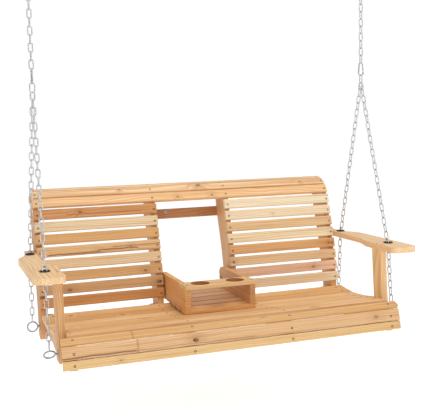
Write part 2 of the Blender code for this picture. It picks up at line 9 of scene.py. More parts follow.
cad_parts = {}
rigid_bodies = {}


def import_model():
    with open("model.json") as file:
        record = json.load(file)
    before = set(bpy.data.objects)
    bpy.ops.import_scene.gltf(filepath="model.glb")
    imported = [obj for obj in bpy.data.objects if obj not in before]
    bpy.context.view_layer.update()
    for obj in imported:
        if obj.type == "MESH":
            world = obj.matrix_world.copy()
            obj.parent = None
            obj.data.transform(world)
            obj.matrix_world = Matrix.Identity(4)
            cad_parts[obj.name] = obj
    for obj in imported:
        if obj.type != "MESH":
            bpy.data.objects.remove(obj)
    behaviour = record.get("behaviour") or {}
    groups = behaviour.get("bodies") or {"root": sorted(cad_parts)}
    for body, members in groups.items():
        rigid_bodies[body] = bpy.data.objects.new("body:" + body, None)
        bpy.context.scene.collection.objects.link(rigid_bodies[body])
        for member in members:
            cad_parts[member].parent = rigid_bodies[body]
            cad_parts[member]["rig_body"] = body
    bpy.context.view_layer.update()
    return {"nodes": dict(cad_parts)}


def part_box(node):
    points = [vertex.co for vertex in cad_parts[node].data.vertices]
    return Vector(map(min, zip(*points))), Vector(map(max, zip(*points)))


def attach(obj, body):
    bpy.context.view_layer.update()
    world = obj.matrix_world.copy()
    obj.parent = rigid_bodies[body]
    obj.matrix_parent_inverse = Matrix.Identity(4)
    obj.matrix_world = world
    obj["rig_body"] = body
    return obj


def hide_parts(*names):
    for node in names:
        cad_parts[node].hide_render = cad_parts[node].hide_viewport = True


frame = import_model()

# The bench's own coordinates: X left to right, Y back, Z up, from the front slat's bottom edge
HANG_Y = 0.3697
CEILING_Z = 1.600
BENCH = Vector((0.0, -HANG_Y, -CEILING_Z))

# Dimensions shared with the solid model
SLAT_END = 0.7437
SLAT_T = 0.018
CHAIN_X = 0.764
LEFT_BOW_Z = 1.095
RIGHT_BOW_Z = 1.130
CARABINER_LENGTH = 0.066
ROD_CARABINER = 0.0066
DECK_START = (0.0605, 0.1205)
DECK_SLOPES = (-3.0, -8.5, -9.0, -8.0, -5.0, -1.5, 5.0, 7.0)
DECK_W = 0.0548
DECK_GAP = 0.0046
POST_INNER_X = 0.7125
POST_REAR_Y = 0.1768
ARM_TOP_Z = 0.360
ARM_MID_Z = 0.3475
GROMMET_X = 0.776
GROMMET_FRONT_Y = 0.1516
GROMMET_REAR_Y = 0.5877
EYE_Z = 0.030                 # the rear pair
EYE_FRONT_Z = 0.037
EYE_FRONT_Y = 0.120
EYE_REAR_Y = 0.610
EYE_RING_R = 0.0220
EYE_WIRE = 0.0070
FRONT_EYE_TURN = 38.0
WASHER_R = 0.0160
EYE_TIP_X = 0.6722             # inner end of the eye bolts
NUT_X = 0.6757
RIB_OUTER_X = 0.7435
CONSOLE_HALF = 0.165
CONSOLE_FRONT_Y = 0.272
CONSOLE_BASE_Z = 0.0952
CONSOLE_SLOPE_DEG = 1.3
FLOOR_PITCH = 0.0745
FLOOR_GAP = 0.0110
FLOOR_SLATS = 5
CUP_R = 0.0405
CUP_CENTRES = [(x, 0.309 - HANG_Y) for x in (-0.082, 0.082)]
HOOK_DROP = 0.042

# Chain link
LINK_PITCH = 0.0330
LINK_WIDTH = 0.0214
LINK_WIRE = 0.0051
JOINING_PITCH = LINK_PITCH * 1.05
JOINING_WIDTH = 0.0250
JOINING_WIRE = 0.0050

# Wood grain
FIBRES_PER_M = 380.0
KNOT_LONG = 1.9                # a knot's length and width, in its stated radii
KNOT_WIDE = 1.25
MARK_SWAY = 0.005              # how far a dark grain line wanders, and over what length it ends
MARK_FADE = 0.010
FINGER_PITCH = 0.009           # of the zigzag joints in long slats
FINGER_SLANT = 1.6

SCREW_R = 0.0050
SCREW_LIFT = 0.0002
SCREW_SIDES = 12
BACK_SCREW_X = (0.729, 0.187)  # each side's two screws, on the back and on the seat
SEAT_SCREW_X = (0.700, 0.217)
ARM_SCREWS = ((0.730, 0.130), (0.728, 0.168), (0.764, 0.655), (0.764, 0.685))
CONSOLE_SCREWS = [(x, y) for x in (-0.1525, 0.1525) for y in (0.285, 0.335)]
FLOOR_DROP = 0.36              # the studio floor, below the lowest front slat
FLOOR_GLOW = 0.72
AMBIENT = 0.52               # the studio's level away from the camera
EASED = 0.0016
ARM_EASED = 0.003


# ---------------------------------------------------------------- node trees

def colour(code):
    """A hex sRGB colour as a linear RGBA value."""
    parts = [int(code[k:k + 2], 16) / 255 for k in (0, 2, 4)]
    return tuple(p / 12.92 if p < 0.04045 else ((p + 0.055) / 1.055) ** 2.4 for p in parts) + (1.0,)


def shade(value, factor):
    return tuple(min(1.0, c * factor) for c in value[:3]) + (1.0,)


class Tree:
    """A material's node tree with short calls for the nodes used here."""

    def __init__(self, name):
        self.material = bpy.data.materials.new(name)
        self.material.use_nodes = True
        self.nodes = self.material.node_tree.nodes
        self.links = self.material.node_tree.links
        self.shader = self.nodes["Principled BSDF"]

    def plug(self, socket, value):
        if isinstance(value, bpy.types.NodeSocket):
            self.links.new(value, socket)
        elif value is not None:
            socket.default_value = value

    def math(self, operation, a, b=None, c=None, clamp=False):
        node = self.nodes.new("ShaderNodeMath")
        node.operation = operation
        node.use_clamp = clamp
        for k, value in enumerate((a, b, c)):
            self.plug(node.inputs[k], value)
        return node.outputs[0]

    def length(self, a, b):
        """How far the point (a, b) is from the origin."""
        squares = self.math("ADD", self.math("MULTIPLY", a, a), self.math("MULTIPLY", b, b))
        return self.math("SQRT", squares)

    def off(self, value, centre):
        return self.math("ABSOLUTE", self.math("SUBTRACT", value, centre))

    def stronger(self, first, second):
        """The larger of two masks, where the first may be missing."""
        return second if first is None else self.math("MAXIMUM", first, second)

    def vector(self, x, y, z):
        node = self.nodes.new("ShaderNodeCombineXYZ")
        for k, value in enumerate((x, y, z)):
            self.plug(node.inputs[k], value)
        return node.outputs[0]

    def noise(self, vector, scale, detail=2.0, rough=0.5):
        node = self.nodes.new("ShaderNodeTexNoise")
        self.plug(node.inputs["Vector"], vector)
        node.inputs["Scale"].default_value = scale
        node.inputs["Detail"].default_value = detail
        node.inputs["Roughness"].default_value = rough
        return node.outputs["Fac"]

    def remap(self, value, low, high, out_low=0.0, out_high=1.0):
        node = self.nodes.new("ShaderNodeMapRange")
        node.interpolation_type = "SMOOTHSTEP"
        for k, part in enumerate((value, low, high, out_low, out_high)):
            self.plug(node.inputs[k], part)
        return node.outputs[0]

    def mix(self, factor, first, second, blend="MIX"):
        node = self.nodes.new("ShaderNodeMix")
        node.data_type = "RGBA"
        node.blend_type = blend
        self.plug(node.inputs["Factor"], factor)
        self.plug(node.inputs[6], first)
        self.plug(node.inputs[7], second)
        return node.outputs[2]

    def place(self):
        """The object's own coordinates, split."""
        node = self.nodes.new("ShaderNodeTexCoord")
        split = self.nodes.new("ShaderNodeSeparateXYZ")
        self.links.new(node.outputs["Object"], split.inputs[0])
        return split.outputs

    def bump(self, height, strength, distance):
        node = self.nodes.new("ShaderNodeBump")
        node.inputs["Strength"].default_value = strength
        node.inputs["Distance"].default_value = distance
        self.links.new(height, node.inputs["Height"])
        self.links.new(node.outputs[0], self.shader.inputs["Normal"])

    def surface(self, base, roughness, metallic=0.0):
        self.plug(self.shader.inputs["Base Color"], base)
        self.plug(self.shader.inputs["Roughness"], roughness)
        self.shader.inputs["Metallic"].default_value = metallic
        return self.material


def wood(name, tone, seed, grain="X", cross="Z", knots=(), contrast=1.0, line_gap=0.0085, marks=(),
         joints=(), shaded_hole_centres=()):
    """Plain-sawn softwood. All places are in metres on the board.

    Knots are (along, across, radius, darkness), marks are dark grain lines (low end, high end, across,
    half width, darkness), joints are the places along the board of its zigzag finger joints, and the
    last list holds the centres of holes, whose walls and rims are painted darker: end grain plus painted
    shade.
    """
    tree = Tree(name)
    place = dict(zip("XYZ", tree.place()))
    thick = ({"X", "Y", "Z"} - {grain, cross}).pop()
    along, across, deep = place[grain], place[cross], place[thick]
    shift = (seed * 0.731) % 1.0
    far = tree.vector(tree.math("MULTIPLY", along, 1.5), tree.math("MULTIPLY", across, 5.0), seed * 3.17)
    drift = tree.math("MULTIPLY_ADD", tree.noise(far, 1.0, 2.0), 0.10, -0.05)
    side = tree.math("ADD", tree.math("ADD", across, -0.045 + 0.09 * shift), drift)
    below = tree.math("ADD", deep, 0.055 + 0.05 * ((seed * 0.417) % 1.0))
    ring = tree.length(side, below)
    stain = None
    for at_along, at_across, radius, darkness in knots:
        dx = tree.math("DIVIDE", tree.math("SUBTRACT", along, at_along), radius * KNOT_LONG)
        dy = tree.math("DIVIDE", tree.math("SUBTRACT", across, at_across), radius * KNOT_WIDE)
        reach = tree.length(dx, dy)
        core = tree.remap(reach, 0.55, 1.10, darkness, 0.0)
        halo = tree.remap(reach, 0.6, 4.5, 0.26 * darkness, 0.0)
        ring = tree.math("ADD", ring, tree.math("MULTIPLY", halo, 0.045))
        stain = tree.stronger(stain, tree.math("MAXIMUM", core, halo))
    fine = tree.vector(tree.math("MULTIPLY", along, 7.0), tree.math("MULTIPLY", across, FIBRES_PER_M),
                       tree.math("MULTIPLY", deep, FIBRES_PER_M))
    fibre = tree.noise(fine, 1.0, 3.0, 0.6)
    wobble = tree.math("MULTIPLY", tree.math("SUBTRACT", fibre, 0.5), 0.0016)
    phase = tree.math("DIVIDE", tree.math("ADD", ring, wobble), line_gap)
    saw = tree.math("FRACT", phase)
    late = tree.math("MULTIPLY", tree.remap(saw, 0.15, 0.86), tree.remap(saw, 0.88, 1.0, 1.0, 0.0))
    streaks = tree.vector(tree.math("MULTIPLY", along, 1.1), tree.math("MULTIPLY", across, 42.0),
                          tree.math("ADD", tree.math("MULTIPLY", deep, 20.0), seed * 1.9))
    band = tree.remap(tree.noise(streaks, 1.0, 2.0), 0.30, 0.72)
    threads = tree.vector(tree.math("MULTIPLY", along, 2.0), tree.math("MULTIPLY", across, 130.0),
                          tree.math("ADD", tree.math("MULTIPLY", deep, 45.0), seed * 2.7))
    strand = tree.remap(tree.noise(threads, 1.0, 3.0, 0.55), 0.50, 0.74)
    base = colour(tone)
    warm = (base[0] * 0.80, base[1] * 0.62, base[2] * 0.45, 1.0)
    deep_tone = (base[0] * 0.66, base[1] * 0.46, base[2] * 0.30, 1.0)
    pale = (min(1, base[0] * 1.10), min(1, base[1] * 1.18), min(1, base[2] * 1.32), 1.0)
    skin = tree.mix(band, pale, base)
    skin = tree.mix(tree.math("MULTIPLY", late, 0.60 * contrast), skin, warm)
    skin = tree.mix(tree.math("MULTIPLY", strand, 0.62 * contrast), skin, deep_tone)
    skin = tree.mix(tree.remap(fibre, 0.35, 0.75, 0.0, 0.22), skin, shade(warm, 0.86))
    for low, high, at_across, half, darkness in marks:
        bends = tree.vector(tree.math("MULTIPLY", along, 9.0), seed, 0.0)
        sway = tree.math("MULTIPLY_ADD", tree.noise(bends, 1.0, 2.0), 2 * MARK_SWAY, -MARK_SWAY)
        away = tree.off(tree.math("ADD", across, sway), at_across)
        line = tree.remap(away, half * 0.4, half, darkness, 0.0)
        fade = tree.math("MULTIPLY", tree.remap(along, low - MARK_FADE, low + MARK_FADE),
                         tree.remap(along, high - MARK_FADE, high + MARK_FADE, 1.0, 0.0))
        stain = tree.stronger(stain, tree.math("MULTIPLY", line, fade))
    for at_along in joints:
        zigzag = tree.math("MULTIPLY", tree.math("PINGPONG", across, FINGER_PITCH / 2), FINGER_SLANT)
        away = tree.off(tree.math("SUBTRACT", along, zigzag), at_along)
        line = tree.remap(away, 0.0010, 0.0030, 0.75, 0.0)
        stain = tree.stronger(stain, line)
    if stain is not None:
        grit = tree.math("MULTIPLY", stain, tree.remap(fibre, 0.1, 0.8, 1.0, 0.72))
        skin = tree.mix(grit, skin, colour("74330f"))
    # painted shade: hole walls and rims mixed to deep brown 9a5a28, the end grain's own darker tone with
    # the shadow inside the hole painted in
    for at_along, at_across in shaded_hole_centres:
        away = tree.length(tree.math("SUBTRACT", along, at_along), tree.math("SUBTRACT", across, at_across))
        skin = tree.mix(tree.remap(away, CUP_R + 0.0004, CUP_R + 0.0018, 0.9, 0.0), skin, colour("9a5a28"))
    tree.bump(tree.math("ADD", tree.math("MULTIPLY", late, 0.5), fibre), 0.22, 0.0006)
    return tree.surface(skin, tree.remap(fibre, 0.2, 0.8, 0.46, 0.62))


def zinc(name, tone, rough):
    """Plated steel: soft spangle and a little grime."""
    tree = Tree(name)
    node = tree.nodes.new("ShaderNodeTexCoord")
    cloud = tree.noise(node.outputs["Object"], 260.0, 3.0)
    base = colour(tone)
    skin = tree.mix(tree.remap(cloud, 0.3, 0.75), base, shade(base, 0.72))
    tree.bump(cloud, 0.10, 0.0003)
    return tree.surface(skin, tree.remap(cloud, 0.2, 0.8, rough, rough + 0.16), 1.0)


def black_plastic(name):
    tree = Tree(name)
    node = tree.nodes.new("ShaderNodeTexCoord")
    speck = tree.noise(node.outputs["Object"], 900.0, 2.0)
    tree.bump(speck, 0.12, 0.0003)
    return tree.surface(tree.mix(speck, colour("141414"), colour("222222")), 0.42)


def screw_paint(name):
    tree = Tree(name)
    node = tree.nodes.new("ShaderNodeTexCoord")
    worn = tree.noise(node.outputs["Object"], 500.0, 2.0)
    return tree.surface(tree.mix(worn, colour("140b05"), colour("2e1b0f")), 0.7)


# ---------------------------------------------------------------- mesh work

def world(x, y, z):
    """A bench place in the model's frame."""
    return Vector((x, y, z)) + BENCH


def add(name, mesh, body, material):
    item = bpy.data.objects.new(name, mesh)
    bpy.context.scene.collection.objects.link(item)
    mesh.materials.clear()
    mesh.materials.append(material)
    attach(item, body)
    return item


def smooth(mesh, angle=35.0):
    mesh.shade_smooth()
    mesh.set_sharp_from_angle(angle=math.radians(angle))
    return mesh


def to_mesh(build, name):
    bmesh.ops.recalc_face_normals(build, faces=build.faces)
    mesh = bpy.data.meshes.new(name)
    build.to_mesh(mesh)
    build.free()
    return mesh


def ease_edges(build, width, front_only=False):
    """Round every clear edge of a board, or only those of its front half."""
    bmesh.ops.remove_doubles(build, verts=build.verts, dist=0.00002)
    bmesh.ops.dissolve_limit(build, angle_limit=math.radians(1), verts=build.verts, edges=build.edges)
    sharp = [edge for edge in build.edges
             if len(edge.link_faces) == 2 and edge.calc_face_angle() > math.radians(30)]
    if front_only:
        middle = sum((vert.co.y for vert in build.verts), 0.0) / len(build.verts)
        sharp = [edge for edge in sharp if max(vert.co.y for vert in edge.verts) < middle]
    bmesh.ops.bevel(build, geom=sharp, offset=width, segments=3, profile=0.5, affect="EDGES",
                    clamp_overlap=True)


def eased_node(node, material, width=EASED, front_only=False):
    """A wooden solid with its edges rounded, in place of the plain one."""
    source = frame["nodes"][node]
    build = bmesh.new()
    build.from_mesh(source.data)
    ease_edges(build, width, front_only)
    mesh = smooth(to_mesh(build, node + "_wood"))
    item = add(node + "_wood", mesh, source["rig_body"], material)
    weighted = item.modifiers.new("flat_faces", "WEIGHTED_NORMAL")
    weighted.keep_sharp = True
    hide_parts(node)
    return item


def board(name, outline, low, high, body, material, width=EASED):
    """A board with a (Y, Z) section that runs along X."""
    build = bmesh.new()
    near = [build.verts.new(world(low, *point)) for point in outline]
    far = [build.verts.new(world(high, *point)) for point in outline]
    build.faces.new(near)
    build.faces.new(far)
    for i in range(len(outline)):
        j = (i + 1) % len(outline)
        build.faces.new((near[i], near[j], far[j], far[i]))
    bmesh.ops.recalc_face_normals(build, faces=build.faces)
    ease_edges(build, width)
    item = add(name, smooth(to_mesh(build, name)), body, material)
    weighted = item.modifiers.new("flat_faces", "WEIGHTED_NORMAL")
    weighted.keep_sharp = True
    return item


def lay(start, slopes, width, gap):
    """The show face of each board in a row: (start, end, inward normal)."""
    point = Vector(start)
    row = []
    for k, slope in enumerate(slopes):
        a = math.radians(slope)
        along = Vector((math.cos(a), math.sin(a)))
        row.append((point.copy(), point + along * width, Vector((along.y, -along.x))))
        b = math.radians((slope + slopes[min(k + 1, len(slopes) - 1)]) / 2)
        point = row[-1][1] + Vector((math.cos(b), math.sin(b))) * gap
    return row


def section(start, end, inward, thickness=SLAT_T):
    return [tuple(start), tuple(end), tuple(end + inward * thickness), tuple(start + inward * thickness)]


def sweep(build, points, radius, sides=12, closed=False, normal=None):
    """Add a round rod along points that lie in one plane with this normal."""
    rings = []
    count = len(points)
    for i, point in enumerate(points):
        before = points[i - 1] if closed or i else point
        after = points[(i + 1) % count] if closed or i + 1 < count else point
        side = (after - before).normalized().cross(normal)
        turns = [2 * math.pi * k / sides for k in range(sides)]
        rings.append([build.verts.new(point + (side * math.cos(a) + normal * math.sin(a)) * radius)
                      for a in turns])
    pairs = list(zip(rings, rings[1:]))
    if closed:
        pairs.append((rings[-1], rings[0]))
    else:
        build.faces.new(rings[0])
        build.faces.new(rings[-1])
    for ring, after in pairs:
        for k in range(sides):
            j = (k + 1) % sides
            build.faces.new((ring[k], ring[j], after[j], after[k]))


def arc(cx, cz, radius, start, end, steps):
    turns = [math.radians(start + (end - start) * k / steps) for k in range(steps + 1)]
    return [(cx + radius * math.cos(a), cz + radius * math.sin(a)) for a in turns]


def link(build, centre, along, across, pitch=LINK_PITCH, width=LINK_WIDTH, wire=LINK_WIRE):
    """One chain link: a closed oval of wire."""
    radius = (width - wire) / 2
    straight = (pitch + wire) / 2 - radius
    oval = arc(0, straight, radius, 0, 180, 8) + arc(0, -straight, radius, 180, 360, 8)
    points = [centre + across * u + along * v for u, v in oval]
    sweep(build, points, wire / 2, 8, True, along.cross(across).normalized())


def chain_run(build, start, end, first_across):
    """Links from start to end, each a quarter turn from the last."""
    span = end - start
    count = max(1, round(span.length / LINK_PITCH))
    along = span.normalized()
    side = (first_across - along * first_across.dot(along)).normalized()
    other = along.cross(side).normalized()
    for k in range(count):
        centre = start + span * ((k + 0.5) / count)
        link(build, centre, along, side if k % 2 == 0 else other, span.length / count)


def disc(build, centre, normal, radius, height, sides=24, rim=0.0):
    """A round plate standing on a face, its rim eased."""
    turn = normal.to_track_quat("Z", "Y").to_matrix().to_4x4()
    profile = [(radius, 0.0), (radius, height - rim), (radius - rim, height)]
    rings = []
    for r, h in profile:
        rings.append([build.verts.new(centre + turn @ Vector((r * math.cos(a), r * math.sin(a), h)))
                      for a in (2 * math.pi * k / sides for k in range(sides))])
    for ring, after in zip(rings, rings[1:]):
        for k in range(sides):
            j = (k + 1) % sides
            build.faces.new((ring[k], ring[j], after[j], after[k]))
    build.faces.new(rings[0])
    build.faces.new(rings[-1])


# ---------------------------------------------------------------- wood

LEFT_TONES = ("c98f55", "e6cba0", "d6a468", "dcb27c", "e2c294", "d7a970", "d2a673", "cf9558")
RIGHT_TONES = ("f0dfbc", "efdab5", "e3be8b", "ecd4aa", "dba76c", "e4c193", "e6bc9b", "ebd3ac")
LEFT_KNOTS = {1: [(-0.535, 0.60, 0.0060, 0.80)],
              4: [(-0.465, 0.35, 0.0050, 0.75), (-0.315, 0.55, 0.0050, 0.7)],
              6: [(-0.255, 0.45, 0.0055, 0.8)],
              7: [(-0.195, 0.45, 0.0085, 0.85), (-0.61, 0.40, 0.0075, 0.75)]}
RIGHT_KNOTS = {5: [(0.71, 0.5, 0.0050, 0.8)], 6: [(0.185, 0.5, 0.0050, 0.8)],
               7: [(0.61, 0.5, 0.0060, 0.7)], 2: [(0.42, 0.45, 0.0035, 0.5)]}
LEFT_MARKS = {1: [(-0.60, -0.25, 0.020, 0.0030, 0.5)],
              4: [(-0.70, -0.46, 0.012, 0.0040, 0.85), (-0.46, -0.28, 0.020, 0.0040, 0.9),
                  (-0.40, -0.16, 0.030, 0.0032, 0.7)]}
ROLL_TONES = {1: "ecc898", 2: "ebc290", 3: "eabd86"}
ROLL_KNOTS = {2: [(0.06, 0.55, 0.0085, 0.85), (-0.335, 0.5, 0.0045, 0.6), (0.61, 0.4, 0.0045, 0.6)],
              3: [(-0.06, 0.5, 0.0050, 0.7), (0.115, 0.5, 0.0050, 0.7)], 1: [(-0.5, 0.5, 0.0045, 0.5)]}
DECK_TONES = ("e9bb85", "eac086", "e2b37b", "edc58c", "e7b87d", "eac18a", "e3b278", "eac086")
DECK_KNOTS = {3: [(-0.66, 0.5, 0.005, 0.6)], 4: [(-0.335, 0.55, 0.0055, 0.75)],
              6: [(-0.405, 0.4, 0.0055, 0.75)],
              7: [(-0.625, 0.3, 0.0055, 0.75)], 0: [(0.36, 0.4, 0.0055, 0.7)], 1: [(0.28, 0.5, 0.004, 0.5)]}


def shares(knots, node, across):
    """Turn a knot's share of the board's width into a place across it."""
    low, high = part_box(node)
    k = "XYZ".index(across)
    return [(x, low[k] + (high[k] - low[k]) * share, r, d) for x, share, r, d in knots]


def make_back():
    halves = (("left", LEFT_TONES, LEFT_KNOTS, LEFT_MARKS, 3), ("right", RIGHT_TONES, RIGHT_KNOTS, {}, 23))
    for side, tones, knots, marks, seed in halves:
        for k, tone in enumerate(tones, 1):
            node = f"back_slat_{side}_{k}"
            spots = shares(knots.get(k, []), node, "Z")
            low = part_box(node)[0].z
            lines = [(*ends, low + up, half, dark) for *ends, up, half, dark in marks.get(k, [])]
            eased_node(node, wood(node, tone, seed + k, "X", "Z", spots, marks=lines))
    for k, tone in ROLL_TONES.items():
        node = f"top_roll_slat_{k}"
        across = "Z" if k == 3 else "Y"
        spots = shares(ROLL_KNOTS[k], node, across)
        eased_node(node, wood(node, tone, 40 + k, "X", across, spots))


def make_deck():
    row = lay(DECK_START, DECK_SLOPES, DECK_W, DECK_GAP)
    slats = []
    for k, (start, end, inward) in enumerate(row):
        reach = POST_INNER_X if start.x < POST_REAR_Y else SLAT_END
        spots = [(x, start.x + DECK_W * share - HANG_Y, r, d) for x, share, r, d in DECK_KNOTS.get(k, [])]
        material = wood(f"deck_slat_{k + 1}", DECK_TONES[k], 60 + k, "X", "Y", spots)
        slats.append(board(f"deck_slat_{k + 1}", section(start, end, inward), -reach, reach, "bench",
                           material))
    for slat in slats:
        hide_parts("seat_deck")


def make_front():
    fronts = (("nose_slat", "dfb276", "Y", [(0.10, 0.5, 0.004, 0.5)], [], [-0.469]),
              ("front_slat_upper", "e0b684", "Z",
               [(-0.210, 0.45, 0.0085, 0.95), (0.625, 0.55, 0.0085, 0.55)],
               [(-0.80, -0.453, 0.0125, 0.0042, 0.9), (-0.453, 0.05, 0.0125, 0.0026, 0.5)], [-0.453]),
              ("front_slat_lower", "e2bb80", "Z", [(-0.52, 0.5, 0.0045, 0.5)], [], []))
    for k, (node, tone, across, knots, marks, joints) in enumerate(fronts):
        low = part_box(node)[0]["XYZ".index(across)]
        lines = [(start, end, low + up, half, dark) for start, end, up, half, dark in marks]
        spots = shares(knots, node, across)
        material = wood(node, tone, 80 + k, "X", across, spots, marks=lines, joints=joints)
        eased_node(node, material, EASED / 2, True)


def make_frame():
    for side, seed, post_tone in (("left", 100, "d8a871"), ("right", 120, "eac48f")):
        for kind, tone, offset, grain, cross in (
                ("end_rib", "cf9a60", 0, "Z", "Y"), ("middle_rib", "d9ac76", 1, "Z", "Y"),
                ("front_post", post_tone, 2, "Z", "X"), ("end_seat_support", "dcb57c", 3, "Y", "Z"),
                ("middle_seat_support", "dcb57c", 4, "Y", "Z")):
            node = f"{kind}_{side}"
            eased_node(node, wood(node, tone, seed + offset, grain, cross))
        arm = f"armrest_{side}"
        arm_wood = wood(arm, "f0cb9a", seed + 6, "Y", "X", contrast=0.8)
        eased_node(arm, arm_wood, ARM_EASED)
    eased_node("rear_rail", wood("rear_rail", "bd8654", 140, "X", "Z"))


def make_console():
    a = math.radians(CONSOLE_SLOPE_DEG)
    start = Vector((CONSOLE_FRONT_Y, CONSOLE_BASE_Z)) + Vector((-math.sin(a), math.cos(a))) * SLAT_T
    row = lay(start, [CONSOLE_SLOPE_DEG] * FLOOR_SLATS, FLOOR_PITCH - FLOOR_GAP, FLOOR_GAP)
    for k, (low, high, inward) in enumerate(row):
        tone = "e2ab6b" if k == 0 else "cfa073"
        material = wood(f"floor_slat_{k + 1}", tone, 150 + k, "X", "Y")
        slat = board(f"floor_slat_{k + 1}", section(low, high, inward), -CONSOLE_HALF, CONSOLE_HALF,
                     "console", material)
        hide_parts("console_floor")
    for side, tone, seed in (("left", "e0aa66", 160), ("right", "cf9c62", 163)):
        node = f"console_side_{side}"
        eased_node(node, wood(node, tone, seed, "Y", "Z"))
    board_wood = wood("cup_board", "e4bd86", 170, "X", "Y", contrast=0.7, shaded_hole_centres=CUP_CENTRES)
    eased_node("cup_board", board_wood, 0.0016)


# ---------------------------------------------------------------- screws

def screw(build, spot, normal):
    """A small screw head with a round recess, just proud of the wood."""
    turn = normal.to_track_quat("Z", "Y").to_matrix().to_4x4()
    rings = []
    for r, h in ((SCREW_R, -0.0006), (SCREW_R, SCREW_LIFT), (SCREW_R * 0.55, SCREW_LIFT),
                 (SCREW_R * 0.45, -0.0004)):
        rings.append([build.verts.new(spot + turn @ Vector((r * math.cos(a), r * math.sin(a), h)))
                      for a in (2 * math.pi * k / SCREW_SIDES for k in range(SCREW_SIDES))])
    for ring, after in zip(rings, rings[1:]):
        for k in range(SCREW_SIDES):
            j = (k + 1) % SCREW_SIDES
            build.faces.new((ring[k], ring[j], after[j], after[k]))
    build.faces.new(rings[0])
    build.faces.new(rings[-1])


def show_face(node):
    """Outward normal and middle of the largest face of a slat that looks forward or up."""
    def turned_out(face):
        normal = face.normal
        return abs(normal.x) < 0.1 and normal.y < 0.05 and normal.z > -0.3 and normal.y < normal.z

    mesh = frame["nodes"][node].data
    best = max(mesh.polygons, key=lambda face: face.area if turned_out(face) else 0.0)
    return best.normal.copy(), best.center.copy()


def both_ways(places):
    return [-x for x in places] + list(places[::-1])


def make_screws(material):
    build = bmesh.new()
    rows = {}
    for k in range(1, 9):
        for side, sign in (("left", -1), ("right", 1)):
            rows[f"back_slat_{side}_{k}"] = [sign * x for x in BACK_SCREW_X]
    for k in range(1, 4):
        rows[f"top_roll_slat_{k}"] = both_ways(BACK_SCREW_X)
    for node in ("nose_slat", "front_slat_upper", "front_slat_lower"):
        rows[node] = both_ways(SEAT_SCREW_X)
    for node, places in rows.items():
        normal, _ = show_face(node)
        mesh = frame["nodes"][node].data
        top = max(v.co.dot(normal) for v in mesh.vertices)
        face = [v.co for v in mesh.vertices if v.co.dot(normal) > top - 0.0002]
        middle = sum(face, Vector()) / len(face)
        for x in places:
            screw(build, Vector((x, middle.y, middle.z)), normal)
    for start, end, inward in lay(DECK_START, DECK_SLOPES, DECK_W, DECK_GAP):
        middle = (start + end) / 2
        for x in both_ways(SEAT_SCREW_X):
            screw(build, world(x, middle.x, middle.y), Vector((0, -inward.x, -inward.y)))
    for sign in (-1, 1):
        for x, y in ARM_SCREWS:
            screw(build, world(sign * x, y, ARM_TOP_Z), Vector((0, 0, 1)))
    add("screw_heads", smooth(to_mesh(build, "screw_heads")), "bench", material)
    lid = bmesh.new()
    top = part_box("cup_board")[1].z
    for x, y in CONSOLE_SCREWS:
        screw(lid, Vector((x, y - HANG_Y, top)), Vector((0, 0, 1)))
    add("console_screws", smooth(to_mesh(lid, "console_screws")), "console", material)


# ---------------------------------------------------------------- chain and fittings

def bow_z(sign):
    return RIGHT_BOW_Z if sign > 0 else LEFT_BOW_Z


def make_chains(material):
    x_way = Vector((1, 0, 0))
    y_way = Vector((0, 1, 0))
    for side, sign in (("left", -1), ("right", 1)):
        x = sign * CHAIN_X
        low = world(x, HANG_Y, bow_z(sign) + CARABINER_LENGTH - ROD_CARABINER)
        high = world(x, HANG_Y, CEILING_Z - HOOK_DROP)
        upper = bmesh.new()
        chain_run(upper, low, high, y_way if sign > 0 else x_way)
        mesh = smooth(to_mesh(upper, f"links_upper_{side}"), 60)
        item = add(f"links_upper_{side}", mesh, "hanger", material)
        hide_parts(f"upper_chain_{side}")
        lower = bmesh.new()
        bow = world(x, HANG_Y, bow_z(sign))
        joint = bow - Vector((0, 0, JOINING_PITCH))
        link(lower, (bow + joint) / 2, Vector((0, 0, 1)), y_way if sign > 0 else x_way,
             JOINING_PITCH, JOINING_WIDTH, JOINING_WIRE)
        for y_arm, y_eye, z_eye in ((GROMMET_FRONT_Y, EYE_FRONT_Y, EYE_FRONT_Z),
                                    (GROMMET_REAR_Y, EYE_REAR_Y, EYE_Z)):
            arm = world(sign * GROMMET_X, y_arm, ARM_MID_Z)
            eye = world(sign * GROMMET_X, y_eye, z_eye + EYE_RING_R)
            chain_run(lower, joint, arm, x_way)
            chain_run(lower, arm, eye, y_way)
        mesh = smooth(to_mesh(lower, f"links_bench_{side}"), 60)
        item = add(f"links_bench_{side}", mesh, "bench", material)
        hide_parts(f"bench_chain_{side}")


def make_eye_bolts(material):
    for side, sign in (("left", -1), ("right", 1)):
        for where, y, z, turn in (("front", EYE_FRONT_Y, EYE_FRONT_Z, FRONT_EYE_TURN),
                                  ("rear", EYE_REAR_Y, EYE_Z, 0.0)):
            build = bmesh.new()
            centre = world(sign * GROMMET_X, y, z)
            tip = Matrix.Rotation(math.radians(turn), 3, "X")
            circle = [2 * math.pi * k / 40 for k in range(40)]
            points = [centre + tip @ Vector((math.cos(a), 0, math.sin(a))) * EYE_RING_R for a in circle]
            sweep(build, points, EYE_WIRE / 2, 14, True, tip @ Vector((0, 1, 0)))
            away = Vector((sign, 0, 0))
            inside = world(sign * EYE_TIP_X, y, z)
            disc(build, inside, away, 0.0040, (GROMMET_X - EYE_RING_R - EYE_TIP_X), 16)
            disc(build, world(sign * (RIB_OUTER_X + 0.0003), y, z), away, WASHER_R, 0.0020, 28, 0.0004)
            disc(build, world(sign * NUT_X, y, z), away, 0.0070, 0.0080, 6, 0.0006)
            name = f"eye_{where}_{side}"
            item = add(name, smooth(to_mesh(build, name)), "bench", material)
            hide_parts(f"eye_bolt_{where}_{side}")


